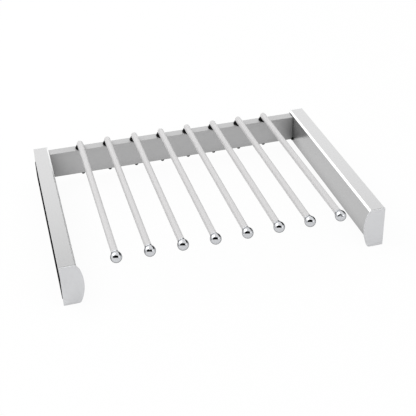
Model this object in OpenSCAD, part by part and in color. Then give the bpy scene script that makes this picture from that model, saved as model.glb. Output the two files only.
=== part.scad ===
// Pull out trouser rack for a wardrobe.
// Two aluminium cover rails run on ball bearing slides, a crossbar joins them at the back,
// and sleeved rods with ball ends reach forward from the crossbar.
// +X is to the right, +Y to the back of the wardrobe and +Z up.
// The origin is under the middle of the rack, level with the lowest edge of the front caps.

/* [Cabinet] */
// Clear width between the two cabinet sides
cabinet_width = 564; // [500:1:900]
// Gap between a rail and its cabinet side
side_gap = 0.8; // [0.4:0.1:1.5]

/* [Side rails] */
// Height of the rails
rail_height = 66; // [66:0.5:72]
// Width from the cabinet side to the inner wall of a rail
rail_width = 29; // [26:0.5:36]
// Wall of the rail extrusion
rail_wall = 1.8; // [1.4:0.1:2.2]
// Width of the flat chamfer along the inner top edge of a rail
rail_chamfer = 3; // [2:0.25:4.5]
// Radius of the inner bottom edge of a rail
rail_bottom_radius = 6; // [4:0.5:9]
// Height of the outer lip that hangs down beside the slide
outer_lip = 20; // [8:0.5:24]

/* [Front caps] */
// Height of the caps, which stand lower than the rails
cap_height = 75; // [74:0.5:80]
// Thickness of the cap plate
cap_thickness = 3; // [2:0.25:8]
// Reach of the round side beyond the inner wall of the rail
cap_bulge = 9; // [7:0.5:12]
// Radius of the round side
cap_main_radius = 85; // [75:1:100]
// Depth of the widest place below the top
cap_bulge_drop = 37; // [34:0.5:40]
// Radius of the upper shoulder of the round side
cap_shoulder_radius = 25; // [15:0.5:32]
// Radius of the lower corner
cap_toe_radius = 6; // [3:0.5:10]
// Length of the cap's tongue in the slide channel
cap_tongue_length = 42; // [20:1:60]
// Length of the cap's plug in the hollow chamber
cap_plug_length = 22; // [16:1:40]
// Width of the shadow gap between the cap plate and the rail
cap_seam = 0.5; // [0.3:0.05:1]
// Depth of that gap, which is less than the rail's wall
cap_seam_depth = 1; // [0.5:0.1:1.2]
// Wall of the cap's hollow plug
cap_plug_wall = 2.2; // [1.5:0.1:3]

/* [Rear plugs] */
// Thickness of the rear plug's plate
rear_plate = 1.5; // [1:0.25:3]
// Length of the rear plug's tongue in the slide channel
rear_tongue_length = 32; // [20:1:60]
// Thickness of the rear plug's tongue
rear_tongue_thickness = 6; // [4:0.25:6.5]

/* [Crossbar] */
// Height of the crossbar tube
bar_height = 52; // [44:0.5:56]
// Depth of the crossbar tube from front to back
bar_depth = 20; // [18:0.5:26]
// Wall of the crossbar tube
bar_wall = 2; // [1.5:0.1:2.5]
// Outer edge radius of the crossbar tube
bar_edge_radius = 1; // [0.5:0.1:1.4]
// Drop from the top of the rails to the top of the crossbar
bar_drop = 5; // [2:0.5:8]
// Distance from the back end of the rails to the crossbar
bar_inset = 1.5; // [1:0.5:20]
// Length of the corner connector's plug in the crossbar
connector_length = 30; // [20:1:45]
// Thickness of the connector's flange between rail and crossbar
connector_flange = 0.5; // [0.4:0.1:2]
// Size of the connector's foot at the lower inner corner
connector_foot = 3; // [2:0.25:6]

/* [Rods] */
// Number of rods
rod_count = 8; // [4:1:8]
// Distance from the inner wall of a rail to the middle of the nearest rod
end_rod_gap = 62.25; // [40:0.25:70]
// Outer diameter of the soft sleeve on a rod
sleeve_diameter = 12; // [11:0.25:14]
// Diameter of the steel rod in the sleeve
core_diameter = 9; // [8.5:0.25:10]
// How far the middle of the balls stands in front of the caps
rod_overhang = 15.5; // [0:0.5:30]
// Length of a rod behind its fixing bolt
rod_tail = 8; // [7:0.25:9.5]
// Upward slope of the rods to the front, in degrees
rod_rise = 1.5; // [0:0.1:3]
// Height of a rod's axis above the crossbar at its fixing bolt
rod_lift = 8; // [7.5:0.25:10]
// Diameter of the ball ends
ball_diameter = 19; // [17:0.25:24]
// Diameter of the collar between rod and ball
collar_diameter = 13; // [12:0.25:14]
// Distance from the middle of a ball to the front end of its sleeve
collar_reach = 10.5; // [10:0.25:13]
// Diameter of the ball's stud in the rod
stud_diameter = 6; // [4:0.25:6.5]
// Length of the ball's stud in the rod
stud_length = 18; // [8:1:30]

/* [Saddles] */
// Diameter of a saddle's round base
saddle_diameter = 20; // [16:0.5:20]
// Height of the straight rim of the round base
saddle_rim = 1; // [0.5:0.25:2]
// Height of the saddle's cheeks above the crossbar
saddle_height = 5.5; // [4:0.25:7]
// Diameter of the round base at the top of its cheeks
saddle_top_diameter = 15; // [14:0.5:17]
// Distance from a rod's axis to the flat side of its saddle, on the right
saddle_flat = 6.8; // [6.5:0.1:10]
// Width of the cradle that runs forward under the rod
cradle_width = 11; // [8:0.5:14]
// Reach of the cradle in front of the bolt
cradle_reach = 13; // [11:0.5:20]

/* [Slides] */
// Length of the slide members on the cabinet, which is also the length of the rails
slide_length = 400; // [300:50:500]
// Height of the slides
slide_height = 35; // [35:0.5:38]
// Thickness of the slides
slide_thickness = 12; // [12:0.1:13]
// Sheet thickness of the slide members
slide_sheet = 1.2; // [1:0.05:1.3]
// Thickness of the races at the edges of the slide members
race_thickness = 1.5; // [1.2:0.05:1.7]
// Diameter of the bearing balls
bearing_ball = 3.2; // [2.8:0.1:3.3]
// Number of bearing balls in each row
balls_per_row = 6; // [3:1:8]
// Length of the ball cages
cage_length = 150; // [90:1:180]
// Diameter of the screw holes in the cabinet members
mount_hole_diameter = 4.5; // [3.5:0.1:5.5]
// Distance from the front end of the slide to its first screw hole
mount_hole_setback = 37; // [25:1:50]
// Distance between neighbouring screw holes
mount_hole_pitch = 160; // [96:32:160]

/* [Screws and bolts] */
// Diameter of the bolts that hold the rods
rod_bolt_diameter = 5; // [4:0.25:5]
// Width of the six-sided bolt heads under the crossbar, across the corners
rod_bolt_head = 9.2; // [8:0.1:12]
// Height of the bolt heads with their domes and washers
rod_bolt_head_height = 8; // [7:0.25:12]
// Diameter of the washers under the bolt heads
rod_bolt_washer = 11; // [10:0.25:14]
// Thickness of the washers under the bolt heads
rod_bolt_washer_thickness = 1; // [0.8:0.1:1.6]
// Diameter of the screws in the rails
rail_screw_diameter = 3.5; // [3:0.1:4]
// Diameter of the screw heads in the rails
rail_screw_head = 6.4; // [5.5:0.1:7]
// Height of the screw heads in the rails
rail_screw_head_height = 1.8; // [1.2:0.1:2]

/* [Hidden] */
$fn = 64;
SIDES = ["left", "right"];
overrun = 1;            // how far a cut runs past the faces it opens
fit = 0.15;             // gap round a plug in its tube
seat_gap = 0.02;        // radial gap of a pin in its hole and of a rod in its seat
ball_gap = 0.05;        // radial gap of a bearing ball in its race
run_gap = 1.2;          // gap between the slide and the rail under it
slide_front_gap = 0.5;    // gap between the slide and the cap when the rack is in
hidden_wall = 2.4;      // wall of the moulded plugs
screw_bite = 5;         // length of a screw behind the wall it holds
head_recess_share = 0.5; // depth of a screw drive against the height of its head
dome_share = 0.42;      // radius of the dome on a bolt head, against the head's width
drive_share = 2 / 3;    // width of a screw drive across its corners, against the screw
race_reach_share = 3 / 8; // distance from a row's middle to the edge of its race, against a ball
cage_strip_share = 1 / 8; // half thickness of a cage's flanges, against a ball
inner_row_share = 5 / 8; // distance of the inner rows from the cabinet side, against the slide
cradle_top_share = 1 / 3; // drop of the cradle's top below the rod's axis, against the sleeve
cap_screw_share = 2 / 3; // place of the cap's screw along the plug
slide_screw_shares = [0.12, 0.5, 0.88]; // places of the screws along the drawer member
corner_screw_shares = [0.14, 0.35]; // places of the corner screws below the crossbar's top
wedge_share = 2;        // reach of the wedge that bounds a corner arc, against its radius
arc_overlap = 0.02;     // how far a corner arc runs past the arc it joins

// Levels and places that the rest follows
top_z = cap_height;
rail_bottom_z = top_z - rail_height;
slide_z = rail_bottom_z + rail_wall + run_gap + slide_height / 2;
bar_top_z = top_z - bar_drop;
bar_bottom_z = bar_top_z - bar_height;
rod_z = bar_top_z + rod_lift;
ball_radius = ball_diameter / 2;
sleeve_radius = sleeve_diameter / 2;
core_radius = core_diameter / 2;
rail_length = slide_length;
ball_front = rail_length + cap_thickness + rod_overhang + ball_radius;
rod_reach = (ball_front - ball_radius - bar_inset - bar_depth / 2) / cos(rod_rise);
rod_pitch = (cabinet_width - 2 * (rail_width + end_rod_gap)) / (rod_count - 1);
back_y = (ball_front - rear_plate) / 2;
rail_front_y = back_y - rail_length;
bar_y = back_y - bar_inset - bar_depth / 2;
bar_half = cabinet_width / 2 - rail_width - connector_flange;
slide_front_y = rail_front_y + slide_front_gap;
function rod_x(i) = (i - (rod_count + 1) / 2) * rod_pitch;

// Cross-section of the slides, from the cabinet side inwards and from the middle up and down
race_reach = bearing_ball * race_reach_share;
outer_row_z = slide_height / 2 - race_thickness - race_reach;
inner_row_z = outer_row_z - 2 * race_reach - race_thickness;
drawer_half = inner_row_z - race_reach;
middle_half = outer_row_z - race_reach;
cage_sheet = 0.4;
cage_clear = 0.3;
outer_cage_w = slide_sheet + cage_clear;
middle_web_w = outer_cage_w + cage_sheet + cage_clear;
inner_cage_w = middle_web_w + slide_sheet + cage_clear;
drawer_flange_w = inner_cage_w + cage_sheet + cage_clear;
outer_row_w = slide_thickness / 2;
inner_row_w = slide_thickness * inner_row_share;
cabinet_flange_w = slide_thickness - 2 * slide_sheet;
middle_flange_w = slide_thickness - slide_sheet - 2 * cage_clear;
outer_cage_flange_w = outer_row_w + bearing_ball;
inner_cage_flange_w = inner_row_w + 2 * race_reach;
bumper_length = 8;
bumper_stud = 5;
member_gap = 2;         // the middle member starts this far behind the front
middle_length = slide_length - bumper_length - 2 * member_gap - overrun;
drawer_length = slide_length - bumper_length - member_gap;
access_hole = 8;
cage_hole = bearing_ball / 2 + 2 * ball_gap;
row_margin = bearing_ball * 2;
mount_hole_count = 1 + floor((slide_length - 2 * mount_hole_setback) / mount_hole_pitch);

// Puts a piece drawn from the cabinet side inwards (x) onto the left or the right side
module on_side(side) {
    mirror([side == "right" ? 1 : 0, 0, 0])
        translate([-cabinet_width / 2, 0, 0])
            children();
}

// Runs a section drawn in x and z along Y
module along_y(front, back) {
    translate([0, back, 0])
        rotate([90, 0, 0])
            linear_extrude(height = back - front)
                children();
}

// Runs a section drawn in y and z along X
module along_x(left, right) {
    translate([left, 0, 0])
        rotate([90, 0, 90])
            linear_extrude(height = right - left)
                children();
}

// A cylinder along X that starts at a place and runs in +X
module pin_x(radius, length) {
    rotate([0, 90, 0])
        cylinder(r = radius, h = length);
}

// A flat rectangle given by two opposite corners
module block_2d(low, high) {
    translate(low)
        square(high - low);
}

// A rectangle with one radius on all four corners
module round_block_2d(low, high, radius) {
    inset = [radius, radius];
    block_2d(low + [radius, 0], high - [radius, 0]);
    block_2d(low + [0, radius], high - [0, radius]);
    for (corner = [low + inset, high - inset, [low.x + radius, high.y - radius], [high.x - radius, low.y + radius]])
        translate(corner)
            circle(r = radius);
}

// Cuts a square corner to a radius: the corner point, then the way back into the shape
module corner_cut_2d(corner, inwards, radius) {
    difference() {
        block_2d(
            [min(corner.x - inwards.x * overrun, corner.x + inwards.x * radius),
             min(corner.y - inwards.y * overrun, corner.y + inwards.y * radius)],
            [max(corner.x - inwards.x * overrun, corner.x + inwards.x * radius),
             max(corner.y - inwards.y * overrun, corner.y + inwards.y * radius)]
        );
        translate(corner + inwards * radius)
            circle(r = radius);
    }
}

// Cuts the upper inner corner of a section to a flat chamfer
module chamfer_2d(corner, size) {
    polygon([
        corner + [overrun, overrun],
        corner + [overrun, -size - overrun],
        corner + [-size - overrun, overrun]
    ]);
}

// Size of a chamfer that runs beside the rail's own at a depth below its faces
function inner_chamfer(depth) = rail_chamfer - depth * (2 - sqrt(2));

// Side rail: a hollow chamber beside an open channel that hides the slide
module rail_section() {
    web_in = slide_thickness + rail_wall;
    chamber_low = [web_in, rail_bottom_z + rail_wall];
    chamber_high = [rail_width - rail_wall, top_z - rail_wall];
    difference() {
        block_2d([side_gap, rail_bottom_z], [rail_width, top_z]);
        chamfer_2d([rail_width, top_z], rail_chamfer);
        corner_cut_2d([rail_width, rail_bottom_z], [-1, 1], rail_bottom_radius);
        difference() {
            block_2d(chamber_low, chamber_high);
            chamfer_2d(chamber_high, inner_chamfer(rail_wall));
            corner_cut_2d([chamber_high.x, chamber_low.y], [-1, 1], rail_bottom_radius - rail_wall);
        }
        block_2d([side_gap + rail_wall, rail_bottom_z + rail_wall], [slide_thickness, top_z - rail_wall]);
        block_2d([side_gap - overrun, rail_bottom_z + rail_wall], [slide_thickness, top_z - outer_lip]);
    }
}

corner_screw_levels = [for (share = corner_screw_shares) bar_top_z - share * bar_height];
function slide_screw_y(k) = slide_front_y + drawer_length * slide_screw_shares[k];
cap_screw_y = rail_front_y + cap_plug_length * cap_screw_share;
cap_screw_w = (slide_thickness + rail_wall + rail_width) / 2;

module cover_profile() {
    color("silver")
    difference() {
        along_y(rail_front_y, back_y) rail_section();
        for (k = [0:len(slide_screw_shares) - 1])
            translate([slide_thickness - overrun, slide_screw_y(k), slide_z])
                pin_x(rail_screw_diameter / 2 + seat_gap, rail_wall + 2 * overrun);
        for (z = corner_screw_levels)
            translate([slide_thickness - overrun, bar_y, z])
                pin_x(rail_screw_diameter / 2 + seat_gap, rail_width - slide_thickness + 2 * overrun);
        translate([cap_screw_w, cap_screw_y, rail_bottom_z - overrun])
            cylinder(r = rail_screw_diameter / 2 + seat_gap, h = rail_wall + 2 * overrun);
    }
}

// The round side of the cap is one large arc between a shoulder arc and a toe arc
cap_width = rail_width + cap_bulge;
cap_centre = [cap_width - cap_main_radius, top_z - cap_bulge_drop];
cap_top_end = [rail_width - rail_chamfer, top_z];

// Centre of the arc that leaves the flat top at its end and runs into the large arc
function shoulder_centre() =
    let (
        apart = cap_top_end - cap_centre,
        distance = norm(apart),
        reach = cap_main_radius - cap_shoulder_radius,
        along = (reach ^ 2 - cap_shoulder_radius ^ 2 + distance ^ 2) / (2 * distance),
        across = sqrt(max(0, reach ^ 2 - along ^ 2)),
        way = apart / distance
    )
    cap_centre + way * along + [way.y, -way.x] * across * (way.y > 0 ? 1 : -1);

// Centre of the arc that runs from the large arc into the flat bottom
function toe_centre() =
    [cap_centre.x + sqrt((cap_main_radius - cap_toe_radius) ^ 2 - (cap_centre.y - cap_toe_radius) ^ 2),
     cap_toe_radius];

// The part of a corner outside an arc, between two directions from the arc's centre
module corner_slice_2d(centre, radius, first, last) {
    far = radius * wedge_share;
    difference() {
        polygon([centre, centre + first * far, centre + (first + last) * far, centre + last * far]);
        translate(centre)
            circle(r = radius);
    }
}

module cap_outline() {
    shoulder_way = (shoulder_centre() - cap_centre) / norm(shoulder_centre() - cap_centre);
    toe_way = (toe_centre() - cap_centre) / norm(toe_centre() - cap_centre);
    difference() {
        intersection() {
            block_2d([side_gap, 0], [cap_width + overrun, top_z]);
            translate(cap_centre)
                circle(r = cap_main_radius, $fn = 128);
        }
        corner_slice_2d(shoulder_centre() + shoulder_way * arc_overlap, cap_shoulder_radius, [0, 1], shoulder_way);
        corner_slice_2d(toe_centre() + toe_way * arc_overlap, cap_toe_radius, [0, -1], toe_way);
    }
}

// The step behind the cap plate, which meets the end of the rail and leaves a shadow gap around it
module cap_step_2d() {
    low = [side_gap + cap_seam_depth, rail_bottom_z + cap_seam_depth];
    high = [rail_width - cap_seam_depth, top_z - cap_seam_depth];
    difference() {
        block_2d(low, high);
        chamfer_2d(high, inner_chamfer(cap_seam_depth));
        corner_cut_2d([high.x, low.y], [-1, 1], rail_bottom_radius - cap_seam_depth);
    }
}

// Moulded front cap: the D-shaped plate, a tongue in the channel and a hollow plug in the chamber
module front_cap() {
    tongue_top = top_z - rail_wall - fit;
    tongue_bottom = slide_z + slide_height / 2 + run_gap;
    plug_low = [slide_thickness + rail_wall + fit, rail_bottom_z + rail_wall + fit];
    plug_high = [rail_width - rail_wall - fit, top_z - rail_wall - fit];
    wall = [cap_plug_wall, cap_plug_wall];
    color("gainsboro")
    difference() {
        union() {
            along_y(rail_front_y - cap_thickness, rail_front_y - cap_seam) cap_outline();
            along_y(rail_front_y - cap_seam - overrun, rail_front_y) cap_step_2d();
            along_y(rail_front_y - overrun, rail_front_y + cap_tongue_length)
                block_2d([side_gap + rail_wall + fit, tongue_bottom], [slide_thickness - fit, tongue_top]);
            along_y(rail_front_y - overrun, rail_front_y + cap_plug_length)
                difference() {
                    block_2d(plug_low, plug_high);
                    chamfer_2d(plug_high, inner_chamfer(rail_wall + fit));
                    corner_cut_2d([plug_high.x, plug_low.y], [-1, 1], rail_bottom_radius - rail_wall);
                    block_2d(plug_low + wall, plug_high - wall);
                }
        }
        translate([cap_screw_w, cap_screw_y, rail_bottom_z])
            cylinder(r = rail_screw_diameter / 2 + seat_gap, h = rail_wall + screw_bite);
    }
}

// Moulded rear plug: closes the chamber and the top of the channel and leaves the slide free
module rear_plug() {
    channel_floor = slide_z + slide_height / 2 + run_gap;
    plate_y = back_y;
    chamber_low = [slide_thickness + rail_wall + fit, rail_bottom_z + rail_wall + fit];
    chamber_high = [rail_width - rail_wall - fit, top_z - rail_wall - fit];
    color("gainsboro")
    union() {
        along_y(plate_y, plate_y + rear_plate)
            difference() {
                block_2d([side_gap, rail_bottom_z], [rail_width, top_z]);
                chamfer_2d([rail_width, top_z], rail_chamfer);
                corner_cut_2d([rail_width, rail_bottom_z], [-1, 1], rail_bottom_radius);
                block_2d([side_gap - overrun, rail_bottom_z - overrun], [slide_thickness, channel_floor]);
            }
        along_y(plate_y - rear_tongue_length, plate_y + rear_plate)
            block_2d(
                [side_gap + rail_wall + fit, channel_floor],
                [side_gap + rail_wall + fit + rear_tongue_thickness, top_z - rail_wall - fit]
            );
        along_y(plate_y - (bar_inset + rear_plate), plate_y + rear_plate)
            difference() {
                block_2d(chamber_low, chamber_high);
                chamfer_2d(chamber_high, inner_chamfer(rail_wall + fit));
                corner_cut_2d([chamber_high.x, chamber_low.y], [-1, 1], rail_bottom_radius - rail_wall);
                block_2d(chamber_low + [hidden_wall, hidden_wall], chamber_high - [hidden_wall, hidden_wall]);
            }
    }
}

module bar_outline(inset) {
    low = [bar_y - bar_depth / 2 + inset, bar_bottom_z + inset];
    high = [bar_y + bar_depth / 2 - inset, bar_top_z - inset];
    if (inset > 0) block_2d(low, high);
    else round_block_2d(low, high, bar_edge_radius);
}

module crossbar() {
    color("darkgray")
    difference() {
        along_x(-bar_half, bar_half)
            difference() {
                bar_outline(0);
                bar_outline(bar_wall);
            }
        for (i = [1:rod_count])
            translate([rod_x(i), bar_y, bar_bottom_z - overrun])
                cylinder(r = rod_bolt_diameter / 2 + fit, h = bar_height + 2 * overrun);
    }
}

// Black connector between crossbar and rail, with a small foot under the inner corner
module corner_connector() {
    flange_w = rail_width;
    plug_w = rail_width + connector_flange;
    foot_low = [bar_y - bar_depth / 2 - connector_foot / 2, bar_bottom_z - connector_foot / 2];
    foot_high = [bar_y - bar_depth / 2 + connector_foot, bar_bottom_z + connector_foot];
    color("black")
    difference() {
        union() {
            along_x(flange_w, plug_w) bar_outline(bar_edge_radius);
            along_x(flange_w, plug_w) block_2d(foot_low, foot_high);
            along_x(flange_w, plug_w + connector_length)
                difference() {
                    bar_outline(bar_wall + fit);
                    bar_outline(bar_wall + fit + hidden_wall);
                }
            along_x(flange_w, plug_w + connector_length)
                for (z = corner_screw_levels)
                    block_2d(
                        [bar_y - bar_depth / 2 + bar_wall + fit, z - rail_screw_diameter],
                        [bar_y + bar_depth / 2 - bar_wall - fit, z + rail_screw_diameter]
                    );
            along_x(flange_w, flange_w + connector_foot) block_2d(foot_low, [foot_high.x, bar_bottom_z]);
            along_x(flange_w, flange_w + connector_foot)
                block_2d(foot_low, [bar_y - bar_depth / 2, foot_high.y]);
        }
        for (z = corner_screw_levels)
            translate([flange_w - overrun, bar_y, z])
                pin_x(rail_screw_diameter / 2 + seat_gap, connector_flange + screw_bite * 2 + overrun);
    }
}

// A pan head screw along X whose head ends at x = 0 and whose shank runs in +X
module pan_screw(length) {
    recess = rail_screw_head_height * head_recess_share;
    difference() {
        union() {
            translate([-rail_screw_head_height, 0, 0])
                pin_x(rail_screw_head / 2, rail_screw_head_height);
            pin_x(rail_screw_diameter / 2, length);
        }
        translate([-rail_screw_head_height - overrun, 0, 0])
            pin_x(rail_screw_diameter / 2 * drive_share, recess + overrun, $fn = 6);
    }
}

module slide_screws() {
    color("gray")
    for (side = SIDES)
        on_side(side)
            for (k = [0:len(slide_screw_shares) - 1])
                translate([slide_thickness - slide_sheet, slide_screw_y(k), slide_z])
                    pan_screw(slide_sheet + rail_wall + screw_bite);
}

module corner_screws() {
    length = rail_width - slide_thickness + connector_flange + screw_bite * 2;
    color("dimgray")
    for (side = SIDES)
        on_side(side)
            for (z = corner_screw_levels)
                translate([slide_thickness, bar_y, z])
                    pan_screw(length);
}

module cap_screws() {
    color("gray")
    for (side = SIDES)
        on_side(side)
            translate([cap_screw_w, cap_screw_y, rail_bottom_z])
                rotate([0, -90, 0])
                    pan_screw(rail_wall + cap_plug_wall + screw_bite / 2);
}

// Rods: each piece is drawn along Y with the bolt's axis at the origin, then sloped and placed
module on_rod(i) {
    translate([rod_x(i), bar_y, rod_z])
        rotate([-rod_rise, 0, 0])
            children();
}

// A cylinder along -Y that starts at a place
module pin_front(radius, length) {
    rotate([90, 0, 0])
        cylinder(r = radius, h = length);
}

module bolt_hole(i, radius, above) {
    translate([rod_x(i), bar_y, bar_bottom_z - overrun])
        cylinder(r = radius, h = rod_z - bar_bottom_z + above + overrun);
}

sleeve_front = rod_reach - collar_reach;
core_tail = rod_tail - sleeve_radius / 2;
bolt_above = core_radius / 2;

module rod(i) {
    color("lightgray")
    difference() {
        on_rod(i)
            difference() {
                translate([0, core_tail, 0])
                    pin_front(core_radius, core_tail + sleeve_front);
                translate([0, -sleeve_front + stud_length + seat_gap, 0])
                    pin_front(stud_diameter / 2 + seat_gap, stud_length + seat_gap + overrun);
            }
        bolt_hole(i, rod_bolt_diameter / 2 + seat_gap, bolt_above + seat_gap);
    }
}

module sleeve(i) {
    dome_y = rod_tail - sleeve_radius;
    color("whitesmoke")
    difference() {
        on_rod(i)
            difference() {
                union() {
                    translate([0, dome_y, 0])
                        pin_front(sleeve_radius, dome_y + sleeve_front);
                    translate([0, dome_y, 0])
                        sphere(r = sleeve_radius);
                }
                translate([0, core_tail + seat_gap, 0])
                    pin_front(core_radius + seat_gap, core_tail + seat_gap + sleeve_front + overrun);
            }
        bolt_hole(i, rod_bolt_diameter / 2 + fit, 0);
    }
}

module ball_end(i) {
    color("silver")
    on_rod(i)
        union() {
            translate([0, -rod_reach, 0])
                sphere(r = ball_radius);
            translate([0, -sleeve_front, 0])
                pin_front(collar_diameter / 2, collar_reach);
            translate([0, -sleeve_front + stud_length, 0])
                pin_front(stud_diameter / 2, stud_length + collar_reach);
        }
}

// Saddle: a round base that narrows to two cheeks, and a cradle that runs forward under the rod
module saddle(i) {
    color("black")
    difference() {
        union() {
            translate([rod_x(i), bar_y, bar_top_z])
                cylinder(r = saddle_diameter / 2, h = saddle_rim);
            translate([rod_x(i), bar_y, bar_top_z + saddle_rim])
                cylinder(r1 = saddle_diameter / 2, r2 = saddle_top_diameter / 2, h = saddle_height - saddle_rim);
            intersection() {
                on_rod(i)
                    translate([-cradle_width / 2, -cradle_reach, -rod_lift])
                        cube([cradle_width, cradle_reach, rod_lift - sleeve_radius * cradle_top_share]);
                translate([rod_x(i) - cradle_width / 2, bar_y - cradle_reach - overrun, bar_top_z])
                    cube([cradle_width, cradle_reach + overrun, rod_lift]);
            }
        }
        translate([rod_x(i) + saddle_flat, bar_y - saddle_diameter, bar_top_z - overrun])
            cube([saddle_diameter, saddle_diameter * 2, saddle_height + 2 * overrun]);
        on_rod(i)
            translate([0, saddle_diameter, 0])
                pin_front(sleeve_radius + seat_gap, saddle_diameter + cradle_reach + 2 * overrun);
        bolt_hole(i, rod_bolt_diameter / 2 + fit, 0);
    }
}

// Bolts with a washer and a six-sided head that ends in a dome
module rod_bolts() {
    dome_radius = rod_bolt_head * dome_share;
    color("black")
    for (i = [1:rod_count])
        translate([rod_x(i), bar_y, bar_bottom_z])
            union() {
                translate([0, 0, -rod_bolt_washer_thickness])
                    cylinder(r = rod_bolt_washer / 2, h = rod_bolt_washer_thickness);
                translate([0, 0, dome_radius - rod_bolt_head_height])
                    cylinder(r = rod_bolt_head / 2, h = rod_bolt_head_height - dome_radius, $fn = 6);
                translate([0, 0, dome_radius - rod_bolt_head_height])
                    sphere(r = dome_radius);
                cylinder(r = rod_bolt_diameter / 2, h = rod_z - bar_bottom_z + bolt_above);
            }
}

// Slide members: the ball rows run in shallow grooves along the edges
module both_edges() {
    for (flip = [0, 1])
        mirror([0, flip])
            children();
}

module at_slide() {
    translate([0, slide_z])
        children();
}

module row_groove(w, z) {
    translate([w, z])
        circle(r = bearing_ball / 2 + ball_gap);
}

// A channel between two distances from the cabinet side, open over a part of them
module channel_section(low, high, open_low, open_high, half) {
    difference() {
        block_2d([low, -half], [high, half]);
        block_2d([open_low, race_thickness - half], [open_high, half - race_thickness]);
    }
}

module web_holes(radius, web_w) {
    for (k = [0:mount_hole_count - 1])
        translate([web_w - overrun, slide_front_y + mount_hole_setback + k * mount_hole_pitch, slide_z])
            pin_x(radius, slide_sheet + 2 * overrun);
}

bumper_y = slide_front_y + slide_length - bumper_length;

module cabinet_member() {
    color("dimgray")
    difference() {
        along_y(slide_front_y, slide_front_y + slide_length)
            at_slide()
                difference() {
                    channel_section(0, cabinet_flange_w, slide_sheet, cabinet_flange_w + overrun, slide_height / 2);
                    both_edges() row_groove(outer_row_w, outer_row_z);
                }
        web_holes(mount_hole_diameter / 2, 0);
        translate([-overrun, bumper_y + bumper_length / 2, slide_z])
            pin_x(bumper_stud / 2 + seat_gap, slide_sheet + 2 * overrun);
    }
}

module middle_member() {
    front = slide_front_y + member_gap;
    color("dimgray")
    difference() {
        along_y(front, front + middle_length)
            at_slide()
                difference() {
                    channel_section(
                        middle_web_w, middle_flange_w,
                        middle_web_w + slide_sheet, middle_flange_w + overrun, middle_half
                    );
                    both_edges() row_groove(outer_row_w, outer_row_z);
                    both_edges() row_groove(inner_row_w, inner_row_z);
                }
        web_holes(access_hole / 2, middle_web_w);
    }
}

module drawer_member() {
    color("dimgray")
    difference() {
        along_y(slide_front_y, slide_front_y + drawer_length)
            at_slide()
                difference() {
                    channel_section(
                        drawer_flange_w, slide_thickness,
                        drawer_flange_w - overrun, slide_thickness - slide_sheet, drawer_half
                    );
                    both_edges() row_groove(inner_row_w, inner_row_z);
                }
        for (k = [0:len(slide_screw_shares) - 1])
            translate([slide_thickness - slide_sheet - overrun, slide_screw_y(k), slide_z])
                pin_x(rail_screw_diameter / 2 + seat_gap, slide_sheet + 2 * overrun);
    }
}

module rear_bumpers() {
    color("dimgray")
    for (side = SIDES)
        on_side(side) {
            along_y(bumper_y, bumper_y + bumper_length)
                at_slide()
                    block_2d([slide_sheet, -middle_half], [middle_flange_w, middle_half]);
            translate([0, bumper_y + bumper_length / 2, slide_z])
                pin_x(bumper_stud / 2, slide_sheet + overrun);
        }
}

// A cage stays in the middle of the stretch that its two members share, in and out
outer_cage_y = slide_front_y + member_gap + middle_length / 2 - cage_length / 2;
inner_cage_y = slide_front_y + (member_gap + drawer_length) / 2 - cage_length / 2;

function ball_y(start, k) =
    start + row_margin + k * (cage_length - 2 * row_margin) / (balls_per_row - 1);

module cage(start, web_w, flange_w, row_w, row_z) {
    strip = bearing_ball * cage_strip_share;
    color("goldenrod")
    difference() {
        along_y(start, start + cage_length)
            at_slide()
                union() {
                    block_2d([web_w, -row_z - strip], [web_w + cage_sheet, row_z + strip]);
                    both_edges()
                        block_2d([web_w, row_z - strip], [flange_w, row_z + strip]);
                }
        for (k = [0:balls_per_row - 1])
            for (z = [-row_z, row_z])
                translate([row_w, ball_y(start, k), slide_z + z - bearing_ball / 2])
                    cylinder(r = cage_hole, h = bearing_ball);
    }
}

module ball_rows(start, row_w, row_z) {
    color("white")
    for (k = [0:balls_per_row - 1])
        for (z = [-row_z, row_z])
            translate([row_w, ball_y(start, k), slide_z + z])
                sphere(r = bearing_ball / 2, $fn = 24);
}

crossbar();
rod_bolts();
corner_screws();
slide_screws();
cap_screws();
rear_bumpers();

for (side = SIDES) {
    on_side(side) cover_profile();
    on_side(side) front_cap();
    on_side(side) rear_plug();
    on_side(side) corner_connector();
    on_side(side) cabinet_member();
    on_side(side) middle_member();
    on_side(side) drawer_member();
    on_side(side) cage(outer_cage_y, outer_cage_w, outer_cage_flange_w, outer_row_w, outer_row_z);
    on_side(side) ball_rows(outer_cage_y, outer_row_w, outer_row_z);
    on_side(side) cage(inner_cage_y, inner_cage_w, inner_cage_flange_w, inner_row_w, inner_row_z);
    on_side(side) ball_rows(inner_cage_y, inner_row_w, inner_row_z);
}

for (i = [1:rod_count]) {
    rod(i);
    sleeve(i);
    ball_end(i);
    saddle(i);
}
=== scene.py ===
"""Looks, light and camera of a pull out trouser rack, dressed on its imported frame."""

import logging
import math
from dataclasses import dataclass
from enum import Enum
from typing import Any, ClassVar

import bpy
from mathutils import Matrix, Vector

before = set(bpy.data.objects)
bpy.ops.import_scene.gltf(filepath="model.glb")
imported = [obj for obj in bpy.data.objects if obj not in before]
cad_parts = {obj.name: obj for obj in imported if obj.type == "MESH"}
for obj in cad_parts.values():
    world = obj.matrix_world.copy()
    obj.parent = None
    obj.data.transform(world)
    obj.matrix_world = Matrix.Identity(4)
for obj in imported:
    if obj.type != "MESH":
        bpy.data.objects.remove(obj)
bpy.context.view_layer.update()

PHOTO_WIDTH = 416
SENSOR_MM = 36.0
ROD_COUNT = 8

logging.basicConfig(level=logging.INFO, format="%(name)s: %(message)s")
log = logging.getLogger("trouser_rack")

Pair = tuple[float, float]
Triple = tuple[float, float, float]
Colour = Triple
Place = Triple

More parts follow.
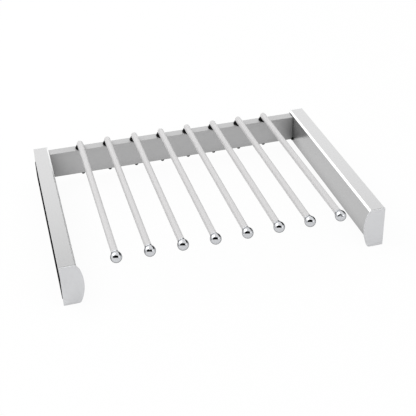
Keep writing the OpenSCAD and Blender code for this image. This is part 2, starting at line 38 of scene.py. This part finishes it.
OPAQUE = 1.0
WHITE = (1.0, 1.0, 1.0, OPAQUE)
# The colour of the shade painted into gaps and corners.
DEEP_SHADE: Colour = (0.004, 0.004, 0.004)
NOISE_MIDDLE = 0.5
EDGE_SAMPLES = 6
SKY_SAMPLES = 8
SLANT_SHARPNESS = 6.0

# The shares of open sky at which painted shade is full, and from which there is none.
GAP_SKY: Pair = (0.32, 0.62)
CORNER_SKY: Pair = (0.4, 0.8)

# The Mix node has more than one socket of each name, so its colour sockets go by number.
MIX_MASK = 0
MIX_LOW = 6
MIX_HIGH = 7
MIX_RESULT = 2


class Side(Enum):
    """The two sides of the rack, by the word that starts the names of their nodes."""

    LEFT = "left"
    RIGHT = "right"

    def node(self, piece: str) -> str:
        """The name of this side's CAD node for a piece."""
        return f"{self.value}_{piece}"


class Run(Enum):
    """The way the drawing lines of a metal run, as their fineness along X, Y and Z per metre."""

    ALONG_X = (5.0, 1300.0, 1300.0)
    ALONG_Y = (1300.0, 5.0, 1300.0)
    EVEN = (420.0, 420.0, 420.0)


class Signal:
    """A value that varies over a surface, used in Python arithmetic."""

    def __init__(self, graph: "NodeGraph", socket: bpy.types.NodeSocket) -> None:
        """Keeps the socket and the node graph it is in."""
        self.graph = graph
        self.socket = socket

    def _math(self, operation: str, left: Any, right: Any) -> "Signal":
        """Adds one Math node.

        Args:
            operation: The node's operation.
            left: The first value, a signal or a number.
            right: The second value, a signal or a number.

        Returns:
            The node's result.
        """
        return self.graph.node("ShaderNodeMath", {"operation": operation}, {0: left, 1: right})

    def __add__(self, other: Any) -> "Signal":
        """This signal plus another."""
        return self._math("ADD", self, other)

    def __radd__(self, other: Any) -> "Signal":
        """A number plus this signal."""
        return self._math("ADD", other, self)

    def __sub__(self, other: Any) -> "Signal":
        """This signal less another."""
        return self._math("SUBTRACT", self, other)

    def __rsub__(self, other: Any) -> "Signal":
        """A number less this signal."""
        return self._math("SUBTRACT", other, self)

    def __mul__(self, other: Any) -> "Signal":
        """This signal times another."""
        return self._math("MULTIPLY", self, other)

    def __rmul__(self, other: Any) -> "Signal":
        """A number times this signal."""
        return self._math("MULTIPLY", other, self)

    def __pow__(self, other: Any) -> "Signal":
        """This signal to a power."""
        return self._math("POWER", self, other)

    def __rpow__(self, other: Any) -> "Signal":
        """A number to the power of this signal."""
        return self._math("POWER", other, self)

    def __abs__(self) -> "Signal":
        """This signal without its sign."""
        return self._math("ABSOLUTE", self, 0.0)

    def largest(self, other: Any) -> "Signal":
        """The larger of this signal and another."""
        return self._math("MAXIMUM", self, other)


class NodeGraph:
    """The node tree of one material or of the world."""

    def __init__(self, tree: bpy.types.NodeTree) -> None:
        """Empties the tree, ready for new nodes."""
        self.tree = tree
        tree.nodes.clear()

    def add(self, kind: str, settings: dict[str, Any], inputs: dict[Any, Any]) -> bpy.types.Node:
        """Adds a node of any kind.

        Args:
            kind: The node's type.
            settings: Its settings, set first.
            inputs: The values or links of its sockets, by name or number.

        Returns:
            The node.
        """
        made = self.tree.nodes.new(kind)
        for name, value in settings.items():
            setattr(made, name, value)
        for key, value in inputs.items():
            if isinstance(value, Signal):
                self.tree.links.new(value.socket, made.inputs[key])
            else:
                made.inputs[key].default_value = value
        return made

    def node(
        self,
        kind: str,
        settings: dict[str, Any] | None = None,
        inputs: dict[Any, Any] | None = None,
        output: Any = 0,
    ) -> Signal:
        """Adds a node and gives one of its outputs.

        Args:
            kind: The node's type.
            settings: Its settings, if it needs any.
            inputs: The values or links of its sockets, by name or number.
            output: Which output to return, by name or number.

        Returns:
            The chosen output.
        """
        return Signal(self, self.add(kind, settings or {}, inputs or {}).outputs[output])

    def coordinate(self, kind: str, axis: str) -> Signal:
        """Adds one axis of a texture coordinate.

        Args:
            kind: The coordinate, such as Object or Normal.
            axis: X, Y or Z.

        Returns:
            The place or direction along that axis.
        """
        at = self.node("ShaderNodeTexCoord", output=kind)
        return self.node("ShaderNodeSeparateXYZ", inputs={"Vector": at}, output=axis)

    def noise(self, fineness: Triple | float, detail: float) -> Signal:
        """Cloudy noise between 0 and 1, fixed to the object.

        Args:
            fineness: Its fineness per metre, even or along X, Y and Z.
            detail: How many finer layers it has.

        Returns:
            The noise's value.
        """
        stretch = fineness if isinstance(fineness, tuple) else (fineness,) * 3
        at = self.node("ShaderNodeTexCoord", output="Object")
        place = self.node("ShaderNodeVectorMath", {"operation": "MULTIPLY"}, {0: at, 1: stretch})
        return self.node("ShaderNodeTexNoise", inputs={"Vector": place, "Scale": 1.0, "Detail": detail})

    def blend(self, mask: Signal, low: Signal | Colour, high: Colour) -> Signal:
        """Mixes two colours.

        Args:
            mask: 0 for the first colour and 1 for the second.
            low: The first colour, a signal or a constant.
            high: The second colour.

        Returns:
            The mixed colour.
        """
        first = low if isinstance(low, Signal) else (*low, OPAQUE)
        colours = {MIX_MASK: mask, MIX_LOW: first, MIX_HIGH: (*high, OPAQUE)}
        return self.node("ShaderNodeMix", {"data_type": "RGBA"}, colours, MIX_RESULT)

    def bump(self, height: Signal, strength: float, depth: float, edge: float = 0.0) -> Signal:
        """Relief from a height, on edges that look rounded.

        Args:
            height: The height signal.
            strength: How strongly the relief shows.
            depth: The depth that a height of 1 stands for, in metres.
            edge: The radius of the edges in metres, or 0 for sharp ones.

        Returns:
            The bent normal.
        """
        inputs = {"Height": height, "Strength": strength, "Distance": depth}
        if edge > 0.0:
            inputs["Normal"] = self.node("ShaderNodeBevel", {"samples": EDGE_SAMPLES}, {"Radius": edge})
        return self.node("ShaderNodeBump", inputs=inputs)

    def ramp(self, value: Signal, span: Pair, ends: Pair) -> Signal:
        """A straight change between two levels, as a value crosses a span.

        Args:
            value: The value that is followed.
            span: Where the change starts and where it ends.
            ends: The level before it and the level after it.

        Returns:
            The level at each place.
        """
        limits = {"From Min": span[0], "From Max": span[1], "To Min": ends[0], "To Max": ends[1]}
        return self.node("ShaderNodeMapRange", inputs={"Value": value, **limits})

    def hollow(self, reach: float, sky: Pair) -> Signal:
        """Where a surface lies in a gap or corner.

        Args:
            reach: How far away other surfaces still count, in metres.
            sky: The shares of open sky at which the mask is full and from which there is none.

        Returns:
            1 deep in a gap and 0 on open faces.
        """
        samples = {"samples": SKY_SAMPLES}
        open_sky = self.node("ShaderNodeAmbientOcclusion", samples, {"Distance": reach}, "AO")
        return self.ramp(open_sky, sky, (1.0, 0.0))

    def slanted(self) -> Signal:
        """Where a face leans halfway between level and upright, to the left or right.

        Returns:
            1 on chamfers and 0 on level and upright faces.
        """
        across = self.coordinate("Normal", "X")
        upward = self.coordinate("Normal", "Z")
        return abs(across * upward * 2.0) ** SLANT_SHARPNESS

    def ray(self, kind: str) -> Signal:
        """1 for rays of the kind that the Light Path node calls so, and 0 for others."""
        return self.node("ShaderNodeLightPath", output=kind)

    def seen(self, mirrored: Signal | float = 1.0) -> Signal:
        """How white a backdrop is for each kind of ray.

        Args:
            mirrored: The value for rays that a mirror or glass sends out.

        Returns:
            1 for the camera's rays, the value above for mirrored ones, and 0 for rays that only light.
        """
        by_mirror = self.ray("Is Glossy Ray").largest(self.ray("Is Transmission Ray"))
        return self.ray("Is Camera Ray").largest(by_mirror * mirrored)

    def mix_shaders(self, share: Signal, first: Signal, second: Signal) -> Signal:
        """The first shader where the share is 0, and the second where it is 1."""
        return self.node("ShaderNodeMixShader", inputs={0: share, 1: first, 2: second})

    def surface(self, constants: dict[str, Any], varied: dict[str, Signal]) -> None:
        """Adds the Principled shader and the output.

        Args:
            constants: Values that are the same all over.
            varied: Signals that vary over the surface.
        """
        shader = self.node("ShaderNodeBsdfPrincipled", inputs={**constants, **varied})
        self.end("ShaderNodeOutputMaterial", shader)

    def end(self, kind: str, shader: Signal) -> None:
        """Ends the tree with an output node fed by a shader."""
        self.add(kind, {}, {"Surface": shader})


def spread(colour: Colour, amount: float) -> tuple[Colour, Colour]:
    """A darker and a lighter tone of a colour.

    Args:
        colour: The middle colour.
        amount: How far both lie from it, as a share of it.

    Returns:
        The darker and the lighter colour.
    """
    factors = (1.0 - amount, 1.0 + amount)
    return tuple(tuple(min(1.0, c * factor) for c in colour) for factor in factors)


def new_material(name: str) -> tuple[bpy.types.Material, NodeGraph]:
    """Makes a material.

    Args:
        name: Its name.

    Returns:
        The material and its empty graph.
    """
    made = bpy.data.materials.new(name)
    made.use_nodes = True
    return made, NodeGraph(made.node_tree)


def new_object(name: str, data: Any) -> bpy.types.Object:
    """Makes an object in the scene.

    Args:
        name: Its name.
        data: The mesh, lamp or camera that it shows.

    Returns:
        The object.
    """
    made = bpy.data.objects.new(name, data)
    bpy.context.scene.collection.objects.link(made)
    return made


class Finish:
    """A finish that makes its material once and gives it to pieces."""

    name: str
    _made: ClassVar[dict[str, bpy.types.Material]] = {}

    def wire(self, graph: NodeGraph) -> None:
        """Adds this finish's nodes to an empty graph."""
        raise NotImplementedError

    def material(self) -> bpy.types.Material:
        """Makes this finish's material on first use.

        Returns:
            The material, the same one for all pieces of this finish.
        """
        if self.name not in Finish._made:
            made, graph = new_material(self.name)
            self.wire(graph)
            Finish._made[self.name] = made
        return Finish._made[self.name]

    def dress(self, node: str) -> None:
        """Gives a CAD node this finish.

        Args:
            node: The node's name.
        """
        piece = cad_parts[node]
        if not piece.material_slots:
            piece.data.materials.append(self.material())
        for slot in piece.material_slots:
            slot.material = self.material()
        log.info("%s wears %s", node, self.name)


@dataclass(frozen=True)
class DrawnMetal(Finish):
    """Metal with fine drawing lines, from satin aluminium to zinc plate.

    Attributes:
        name: The material's name.
        colour: Its base colour.
        roughness: Its middle roughness.
        run: The way the lines run.
        metallic: How metallic it is.
        shine: The strength of the gloss where it isn't metallic.
        lines: How strongly the lines show in its colour.
        gap: The width of the gaps in which shade is painted, in metres, or 0.
        corner: How far the painted shade of a corner reaches, in metres, or 0.
        corner_shade: How dark that painted shade is.
        chamfer_highlight: The grey of the highlight painted on its chamfers, or 0 for none.
        line_share: The share of the lines in its tone, where the rest is soft cloud.
        cloud: The fineness of that cloud per metre.
        sheen_spread: How far its roughness follows the tone.
        relief: The depth of the lines in metres.
        relief_strength: How strongly that depth shows.
    """

    name: str
    colour: Colour
    roughness: float
    run: Run
    metallic: float = 1.0
    shine: float = 0.5
    lines: float = 0.06
    gap: float = 0.0
    corner: float = 0.0
    corner_shade: float = 0.75
    chamfer_highlight: float = 0.0
    line_share: float = 0.65
    cloud: float = 22.0
    sheen_spread: float = 0.14
    relief: float = 0.00004
    relief_strength: float = 0.12

    def wire(self, graph: NodeGraph) -> None:
        """Adds the lines, soft clouds in tone, a faint relief, a painted highlight on chamfers, and
        painted shade in corners and gaps.

        Args:
            graph: The material's empty graph.
        """
        line = graph.noise(self.run.value, detail=3.0)
        cloud = graph.noise(self.cloud, detail=2.0)
        tone = line * self.line_share + cloud * (1.0 - self.line_share)
        colour = graph.blend(tone, *spread(self.colour, self.lines))
        # Painted highlight: faces that lean halfway, the chamfers, are lightened to a near-white grey
        # as if they caught a lamp.
        if self.chamfer_highlight > 0.0:
            colour = graph.blend(graph.slanted(), colour, (self.chamfer_highlight,) * 3)
        # Painted shade: corners are darkened toward DEEP_SHADE where ambient occlusion finds little
        # open sky.
        if self.corner > 0.0:
            shade = graph.hollow(self.corner, CORNER_SKY) * self.corner_shade
            colour = graph.blend(shade, colour, DEEP_SHADE)
        # Painted shade: narrow gaps are darkened toward DEEP_SHADE by ambient occlusion.
        if self.gap > 0.0:
            colour = graph.blend(graph.hollow(self.gap, GAP_SKY), colour, DEEP_SHADE)
        graph.surface(
            {"Metallic": self.metallic, "Specular IOR Level": self.shine},
            {
                "Base Color": colour,
                "Roughness": self.roughness + (tone - NOISE_MIDDLE) * self.sheen_spread,
                "Normal": graph.bump(line, self.relief_strength, self.relief),
            },
        )


@dataclass(frozen=True)
class MouldedPlastic(Finish):
    """Moulded plastic with a fine spark grain.

    Attributes:
        name: The material's name.
        colour: Its base colour.
        roughness: Its middle roughness.
        shine: The strength of its gloss, 0.5 for most plastics.
        bending: Its index of refraction.
        grain: The fineness of the grain per metre.
        relief: The depth of the grain in metres.
        relief_strength: How strongly that depth shows.
        edge: The radius of its edges in metres.
        gap: The width of the gaps in which shade is painted, in metres, or 0.
        cloud: The fineness of its flow clouds per metre.
        cloud_spread: How far its colour follows the clouds.
        grain_sheen: How far its roughness follows the grain.
        cloud_sheen: How far its roughness follows the clouds.
    """

    name: str
    colour: Colour
    roughness: float
    shine: float = 0.5
    bending: float = 1.47
    grain: float = 2600.0
    relief: float = 0.00003
    relief_strength: float = 0.25
    edge: float = 0.0004
    gap: float = 0.0
    cloud: float = 28.0
    cloud_spread: float = 0.04
    grain_sheen: float = 0.12
    cloud_sheen: float = 0.06

    def wire(self, graph: NodeGraph) -> None:
        """Adds the grain, faint flow clouds and painted shade in gaps.

        Args:
            graph: The material's empty graph.
        """
        grain = graph.noise(self.grain, detail=3.0)
        cloud = graph.noise(self.cloud, detail=3.0)
        colour = graph.blend(cloud, *spread(self.colour, self.cloud_spread))
        # Painted shade: narrow gaps are darkened toward DEEP_SHADE by ambient occlusion.
        if self.gap > 0.0:
            colour = graph.blend(graph.hollow(self.gap, GAP_SKY), colour, DEEP_SHADE)
        by_grain = (grain - NOISE_MIDDLE) * self.grain_sheen
        by_cloud = (cloud - NOISE_MIDDLE) * self.cloud_sheen
        graph.surface(
            {"Metallic": 0.0, "IOR": self.bending, "Specular IOR Level": self.shine},
            {
                "Base Color": colour,
                "Roughness": self.roughness + by_grain + by_cloud,
                "Normal": graph.bump(grain, self.relief_strength, self.relief, self.edge),
            },
        )


@dataclass(frozen=True)
class ChromePlate(Finish):
    """Bright chrome with faint wiping marks.

    Attributes:
        name: The material's name.
        colour: Its base colour.
        marks: How rough its wiping marks are.
        rim: The tint of its mirror at a grazing angle.
        wipe: The fineness of the marks along X, Y and Z per metre.
        wipe_from: The height of their noise from which they show.
        cloud: The fineness of the clouds in its tone, per metre.
        cloud_spread: How far its colour follows the clouds.
    """

    name: str
    colour: Colour
    marks: float
    rim: Colour = (1.0, 1.0, 1.0)
    wipe: Triple = (260.0, 60.0, 260.0)
    wipe_from: float = 0.6
    cloud: float = 90.0
    cloud_spread: float = 0.03

    def wire(self, graph: NodeGraph) -> None:
        """Adds faint wiping marks to a sharp mirror.

        Args:
            graph: The material's empty graph.
        """
        marks = (graph.noise(self.wipe, detail=4.0) - self.wipe_from).largest(0.0)
        cloud = graph.noise(self.cloud, detail=2.0)
        graph.surface(
            {"Metallic": 1.0, "Specular Tint": (*self.rim, OPAQUE)},
            {
                "Base Color": graph.blend(cloud, *spread(self.colour, self.cloud_spread)),
                "Roughness": marks * self.marks,
            },
        )


@dataclass(frozen=True)
class GripSleeve(Finish):
    """The soft silver sleeve on a rod, milky with a satin gloss.

    Attributes:
        name: The material's name.
        colour: Its base colour.
        roughness: Its middle roughness.
        metallic: The share of metal in it.
        coat: The strength of its thin gloss coat.
        coat_roughness: The roughness of that coat.
        flake: The fineness of its metal flake per metre.
        flake_share: The share of the flake in its tone, where the rest is draw lines.
        draw: The fineness of the draw lines along X, Y and Z per metre.
        tone_spread: How far its colour follows the tone.
        sheen_spread: How far its roughness follows the tone.
        relief: The depth of the draw lines in metres.
        relief_strength: How strongly that depth shows.
    """

    name: str
    colour: Colour
    roughness: float
    metallic: float
    coat: float = 0.08
    coat_roughness: float = 0.15
    flake: float = 5200.0
    flake_share: float = 0.4
    draw: Triple = (900.0, 7.0, 900.0)
    tone_spread: float = 0.05
    sheen_spread: float = 0.12
    relief: float = 0.00004
    relief_strength: float = 0.1

    def wire(self, graph: NodeGraph) -> None:
        """Adds fine flake, draw lines along the rod and a thin gloss coat.

        Args:
            graph: The material's empty graph.
        """
        flake = graph.noise(self.flake, detail=1.0)
        draw = graph.noise(self.draw, detail=2.0)
        tone = flake * self.flake_share + draw * (1.0 - self.flake_share)
        graph.surface(
            {
                "Metallic": self.metallic,
                "Coat Weight": self.coat,
                "Coat Roughness": self.coat_roughness,
            },
            {
                "Base Color": graph.blend(tone, *spread(self.colour, self.tone_spread)),
                "Roughness": self.roughness + (tone - NOISE_MIDDLE) * self.sheen_spread,
                "Normal": graph.bump(draw, self.relief_strength, self.relief),
            },
        )


# The rail gets painted shade in its gaps and corners and a painted highlight on its chamfers.
RAIL = DrawnMetal(
    "rail_aluminium",
    colour=(0.474, 0.474, 0.476),
    roughness=0.24,
    run=Run.ALONG_Y,
    gap=0.02,
    corner=0.06,
    corner_shade=0.7,
    chamfer_highlight=0.97,
)
# The bar gets painted shade toward its corners with the rails.
BAR = DrawnMetal(
    "bar_aluminium",
    colour=(0.45, 0.45, 0.452),
    roughness=0.46,
    run=Run.ALONG_X,
    corner=0.06,
    corner_shade=0.45,
)
# The slides are black steel without gloss; their black also stands for painted shade in the shadowed
# gap under the rail's lip.
SLIDE_BLACK_AS_SHADE = DrawnMetal(
    "slide_steel",
    colour=(0.014, 0.014, 0.015),
    roughness=0.5,
    run=Run.ALONG_Y,
    metallic=0.0,
    shine=0.0,
    lines=0.45,
)
CAGE = DrawnMetal("cage_steel", colour=(0.52, 0.52, 0.50), roughness=0.38, run=Run.ALONG_Y)
ROD = DrawnMetal("rod_steel", colour=(0.58, 0.58, 0.59), roughness=0.26, run=Run.ALONG_Y)
ZINC_SCREW = DrawnMetal("zinc_screws", colour=(0.62, 0.62, 0.60), roughness=0.32, run=Run.EVEN)
BLACK_SCREW = DrawnMetal(
    "black_screws", colour=(0.016, 0.016, 0.016), roughness=0.36, run=Run.EVEN, metallic=0.3
)
# The caps get painted shade in the seam gaps beside the rails.
CAP = MouldedPlastic(
    "cap_plastic", colour=(0.705, 0.71, 0.725), roughness=0.42, edge=0.0009, gap=0.0025
)
BLACK = MouldedPlastic("black_plastic", colour=(0.006, 0.006, 0.006), roughness=0.42, shine=0.2)
GLOSS_BLACK = MouldedPlastic(
    "gloss_black",
    colour=(0.002, 0.002, 0.002),
    roughness=0.16,
    shine=0.04,
    grain=900.0,
    relief=0.00001,
)
BEARING = ChromePlate("bearing_steel", colour=(0.72, 0.72, 0.73), marks=0.6)
CHROME = ChromePlate("chrome", colour=(0.63, 0.64, 0.66), marks=0.3, rim=(0.05, 0.05, 0.05))
SLEEVE = GripSleeve("silver_sleeve", colour=(0.602, 0.596, 0.598), roughness=0.42, metallic=0.08)


@dataclass(frozen=True)
class SideRail:
    """One side: the cover rail with its cap, plug and corner connector."""

    side: Side

    def build(self) -> None:
        """Dresses the rail and what closes it."""
        RAIL.dress(self.side.node("cover_profile"))
        CAP.dress(self.side.node("front_cap"))
        CAP.dress(self.side.node("rear_plug"))
        BLACK.dress(self.side.node("corner_connector"))


@dataclass(frozen=True)
class BearingSlide:
    """One three part slide with its cages and balls."""

    side: Side

    def build(self) -> None:
        """Dresses the members, the cages and the balls."""
        for member in ("cabinet", "middle", "drawer"):
            SLIDE_BLACK_AS_SHADE.dress(self.side.node(f"{member}_member"))
        for row in ("outer", "inner"):
            CAGE.dress(self.side.node(f"{row}_cage"))
            BEARING.dress(self.side.node(f"{row}_balls"))


@dataclass(frozen=True)
class Crossbar:
    """The tube that joins the rails, with the rack's screws, bolts and bumpers."""

    screws: tuple[str, ...] = ("corner_screws", "slide_screws", "cap_screws")

    def build(self) -> None:
        """Dresses the tube, the bolts, the bumpers and the screws."""
        BAR.dress("crossbar")
        BLACK_SCREW.dress("rod_bolts")
        BLACK.dress("rear_bumpers")
        for node in self.screws:
            ZINC_SCREW.dress(node)


@dataclass(frozen=True)
class HangingRod:
    """One rod with its sleeve, ball end and saddle."""

    number: int

    def build(self) -> None:
        """Dresses the rod's four pieces."""
        ROD.dress(f"rod_{self.number}")
        SLEEVE.dress(f"sleeve_{self.number}")
        CHROME.dress(f"ball_end_{self.number}")
        GLOSS_BLACK.dress(f"saddle_{self.number}")


@dataclass(frozen=True)
class PaperFloor:
    """The pale floor, which looks white and still takes a soft shadow.

    Attributes:
        half: Half of its side, in metres.
        drop: How far it lies below the rack, in metres.
        colour: Its paper's colour.
        fibre: The fineness of its fibres per metre.
        fibre_spread: How far the colour follows the fibres.
        roughness: The paper's roughness.
        shine: The strength of the paper's gloss.
        white: How much of pure white is laid over the paper, where it is seen.
        front_span: Where mirrors start to see less of that white, and where it ends, along Y.
        front_white: The share of it that mirrors see beyond.
    """

    half: float = 6.0
    drop: float = 0.0006
    colour: Colour = (0.93, 0.93, 0.93)
    fibre: float = 9.0
    fibre_spread: float = 0.005
    roughness: float = 0.9
    shine: float = 0.1
    white: float = 0.95
    front_span: Pair = (-0.18, -0.28)
    front_white: float = 0.0

    def build(self) -> None:
        """Makes the floor and its paper."""
        mesh = bpy.data.meshes.new("studio_floor")
        corners = ((-1, -1), (1, -1), (1, 1), (-1, 1))
        points = [(x * self.half, y * self.half, -self.drop) for x, y in corners]
        mesh.from_pydata(points, [], [(0, 1, 2, 3)])
        floor = new_object("studio_floor", mesh)
        mesh.materials.append(self._paper())
        log.info("floor ready")

    def _paper(self) -> bpy.types.Material:
        """Makes the paper, which is mostly white to the camera and to mirrors.

        Returns:
            The floor's material.
        """
        made, graph = new_material("floor_paper")
        fibre = graph.noise(self.fibre, detail=3.0)
        paper = graph.node(
            "ShaderNodeBsdfPrincipled",
            inputs={
                "Roughness": self.roughness,
                "Specular IOR Level": self.shine,
                "Base Color": graph.blend(fibre, *spread(self.colour, self.fibre_spread)),
            },
        )
        white = graph.node("ShaderNodeEmission", inputs={"Strength": 1.0})
        along = graph.coordinate("Object", "Y")
        mirrored = graph.ramp(along, self.front_span, (1.0, self.front_white))
        whiteness = graph.seen(mirrored) * self.white
        graph.end("ShaderNodeOutputMaterial", graph.mix_shaders(whiteness, paper, white))
        return made


@dataclass(frozen=True)
class Surround:
    """The world around the rack.

    Attributes:
        fill: How much of its white lights the rack.
    """

    fill: float = 0.75

    def build(self) -> None:
        """Makes the surround: white where it is seen, softer where it only lights."""
        world = bpy.data.worlds.new("soft_surround")
        world.use_nodes = True
        bpy.context.scene.world = world
        graph = NodeGraph(world.node_tree)
        light, white = (
            graph.node("ShaderNodeBackground", inputs={"Color": WHITE, "Strength": strength})
            for strength in (self.fill, 1.0)
        )
        graph.end("ShaderNodeOutputWorld", graph.mix_shaders(graph.seen(), light, white))
        log.info("surround ready")


@dataclass(frozen=True)
class SoftLamp:
    """A soft lamp that points at the rack.

    Attributes:
        name: The lamp's name.
        place: Where it stands, in metres.
        size: Its width and height.
        glow: How bright its face is, where the white surround is 1.
    """

    name: str
    place: Place
    size: Pair
    glow: float

    def build(self) -> None:
        """Makes the lamp."""
        data = bpy.data.lights.new(self.name, "AREA")
        data.shape = "RECTANGLE"
        data.size, data.size_y = self.size
        data.energy = self.glow * math.pi * self.size[0] * self.size[1]
        lamp = new_object(self.name, data)
        lamp.location = self.place
        lamp.rotation_euler = (-Vector(self.place)).to_track_quat("-Z", "Y").to_euler()
        log.info("%s ready", self.name)


@dataclass(frozen=True)
class DarkCard:
    """A black card that faces the rack and shows only in sharp mirrors, so in its chrome.

    Attributes:
        name: The card's name.
        place: Its middle, in metres.
        size: Its width and height.
        droop: How far its ends hang down, as a share of its height.
        columns: How many columns of points it has, which lets it bend.
        weave: The fineness of its cloth per metre.
        cloth_dark: The colour between the cloth's threads.
        cloth_light: The colour of the threads.
    """

    name: str
    place: Place
    size: Pair
    droop: float = 0.0
    columns: int = 13
    weave: float = 300.0
    cloth_dark: Colour = (0.0, 0.0, 0.0)
    cloth_light: Colour = (0.01, 0.01, 0.01)

    def build(self) -> None:
        """Makes the card and hides it from all but mirrors."""
        mesh = bpy.data.meshes.new(self.name)
        strips = self.columns - 1
        half_width, half_height = (side / 2.0 for side in self.size)
        points = []
        for share in (2.0 * k / strips - 1.0 for k in range(self.columns)):
            for edge in (-1, 1):
                height = (edge - 2.0 * self.droop * share * share) * half_height
                points.append((share * half_width, height, 0.0))
        mesh.from_pydata(points, [], [(2 * k, 2 * k + 2, 2 * k + 3, 2 * k + 1) for k in range(strips)])
        card = new_object(self.name, mesh)
        card.location = self.place
        card.rotation_euler = Vector(self.place).to_track_quat("Z", "Y").to_euler()
        mesh.materials.append(self._cloth())
        card.visible_camera = False
        card.visible_diffuse = False
        card.visible_shadow = False
        log.info("%s ready", self.name)

    def _cloth(self) -> bpy.types.Material:
        """Makes the cloth, black for sharp mirror rays and clear for all others.

        Returns:
            The card's material.
        """
        made, graph = new_material(f"{self.name}_cloth")
        weave = graph.noise(self.weave, detail=1.0)
        threads = graph.blend(weave, self.cloth_dark, self.cloth_light)
        cloth = graph.node("ShaderNodeBsdfDiffuse", inputs={"Color": threads})
        clear = graph.node("ShaderNodeBsdfTransparent")
        sharp = graph.ray("Is Singular Ray")
        graph.end("ShaderNodeOutputMaterial", graph.mix_shaders(sharp, clear, cloth))
        return made


LAMPS = (
    SoftLamp("key_lamp", place=(-1.3, 0.7, 1.9), size=(1.8, 1.8), glow=2.16),
    SoftLamp("back_lamp", place=(0.75, 2.65, 1.3), size=(3.0, 1.5), glow=0.55),
    SoftLamp("edge_lamp", place=(-1.26, 2.4, 1.1), size=(0.9, 0.9), glow=0.4),
    SoftLamp("side_lamp", place=(1.5, -1.7, 0.8), size=(0.8, 0.8), glow=1.2),
)
CARDS = (
    DarkCard("front_card", place=(-0.7, -2.4, 2.3), size=(11.0, 2.9), droop=0.4),
    DarkCard("side_card", place=(2.42, 1.4, 1.02), size=(3.7, 2.0)),
)


@dataclass(frozen=True)
class ViewCamera:
    """The camera, set as the photograph was taken.

    Attributes:
        place: Where it stands, in metres.
        turn: How far it is turned to the right of straight back, in degrees.
        tilt: How far it looks down, in degrees.
        lean: How far it leans to one side, in degrees.
        focal_px: Its focal length, in pixels of the photograph.
        middle_px: The pixel on its lens's axis, from the left and from the top.
        reach: The nearest and the furthest that it sees, in metres.
    """

    place: Place = (-0.3234, -1.3183, 0.9037)
    turn: float = 15.10
    tilt: float = 30.49
    lean: float = -1.55
    focal_px: float = 866.8
    middle_px: Pair = (216.23, 165.96)
    reach: Pair = (0.05, 50.0)

    def build(self) -> None:
        """Makes the camera and sets it as the scene's own."""
        data = bpy.data.cameras.new("view_camera")
        data.sensor_fit = "HORIZONTAL"
        data.sensor_width = SENSOR_MM
        data.lens = self.focal_px * SENSOR_MM / PHOTO_WIDTH
        data.shift_x = (PHOTO_WIDTH / 2 - self.middle_px[0]) / PHOTO_WIDTH
        data.shift_y = (self.middle_px[1] - PHOTO_WIDTH / 2) / PHOTO_WIDTH
        data.clip_start, data.clip_end = self.reach
        camera = new_object("view_camera", data)
        camera.matrix_world = Matrix.Translation(self.place) @ self._aim()
        bpy.context.scene.camera = camera
        bpy.context.scene.view_settings.view_transform = "Standard"
        log.info("camera ready")

    def _aim(self) -> Matrix:
        """Works out the way the camera faces.

        Returns:
            The matrix of its right, its up and its back.
        """
        turn, tilt, lean = (math.radians(v) for v in (self.turn, self.tilt, self.lean))
        ahead = Vector(
            (math.sin(turn) * math.cos(tilt), math.cos(turn) * math.cos(tilt), -math.sin(tilt))
        )
        right = Vector((math.cos(turn), -math.sin(turn), 0.0))
        up = right.cross(ahead)
        leaned_right = right * math.cos(lean) + up * math.sin(lean)
        leaned_up = up * math.cos(lean) - right * math.sin(lean)
        return Matrix((leaned_right, leaned_up, -ahead)).transposed().to_4x4()


def main() -> None:
    """Builds the rack's looks, the studio and the camera in order."""
    for side in Side:
        SideRail(side).build()
        BearingSlide(side).build()
    Crossbar().build()
    for number in range(1, ROD_COUNT + 1):
        HangingRod(number).build()
    for studio_piece in (PaperFloor(), Surround(), *LAMPS, *CARDS):
        studio_piece.build()
    ViewCamera().build()


if __name__ == "__main__":
    main()
